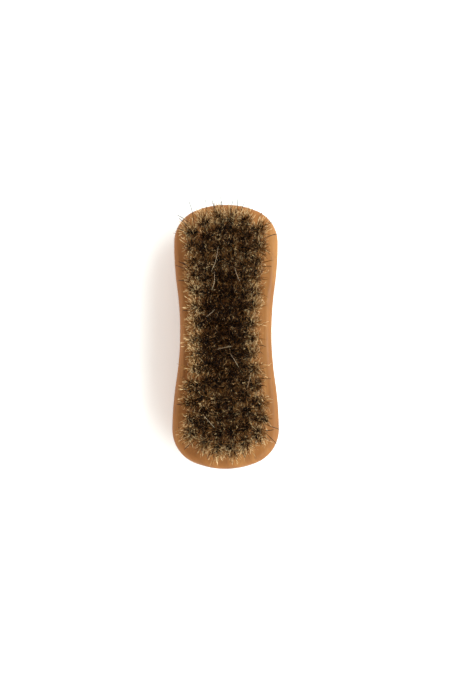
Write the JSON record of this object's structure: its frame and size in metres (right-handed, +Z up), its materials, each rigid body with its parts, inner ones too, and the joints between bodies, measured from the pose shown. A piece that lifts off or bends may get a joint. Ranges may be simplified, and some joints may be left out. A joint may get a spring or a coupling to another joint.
{
  "type": "clothes brush",
  "caption": "Small waisted wooden clothes brush: a rounded beech block with a dense field of staple-set mixed dark and golden hair tufts.",
  "frame": {"origin": "middle of the block's flat back, which the brush rests on", "axes": "+X across the brush, +Y along it, +Z up from the back through the face to the hair tips"},
  "size_m": [0.0476, 0.12, 0.04],
  "materials": {
    "beech": "satin",
    "brush_hair": "matte",
    "anchor_wire": "satin"
  },
  "bodies": {
    "root": {"beech_block": "beech", "tuft_row_01": "brush_hair", "tuft_row_02": "brush_hair", "tuft_row_03": "brush_hair", "tuft_row_04": "brush_hair", "tuft_row_05": "brush_hair", "tuft_row_06": "brush_hair", "tuft_row_07": "brush_hair", "tuft_row_08": "brush_hair", "tuft_row_09": "brush_hair", "tuft_row_10": "brush_hair", "tuft_row_11": "brush_hair", "tuft_row_12": "brush_hair", "tuft_row_13": "brush_hair", "tuft_row_14": "brush_hair", "tuft_row_15": "brush_hair", "tuft_row_16": "brush_hair", "anchor_row_01": "anchor_wire", "anchor_row_02": "anchor_wire", "anchor_row_03": "anchor_wire", "anchor_row_04": "anchor_wire", "anchor_row_05": "anchor_wire", "anchor_row_06": "anchor_wire", "anchor_row_07": "anchor_wire", "anchor_row_08": "anchor_wire", "anchor_row_09": "anchor_wire", "anchor_row_10": "anchor_wire", "anchor_row_11": "anchor_wire", "anchor_row_12": "anchor_wire", "anchor_row_13": "anchor_wire", "anchor_row_14": "anchor_wire", "anchor_row_15": "anchor_wire", "anchor_row_16": "anchor_wire"}
  },
  "joints": []
}
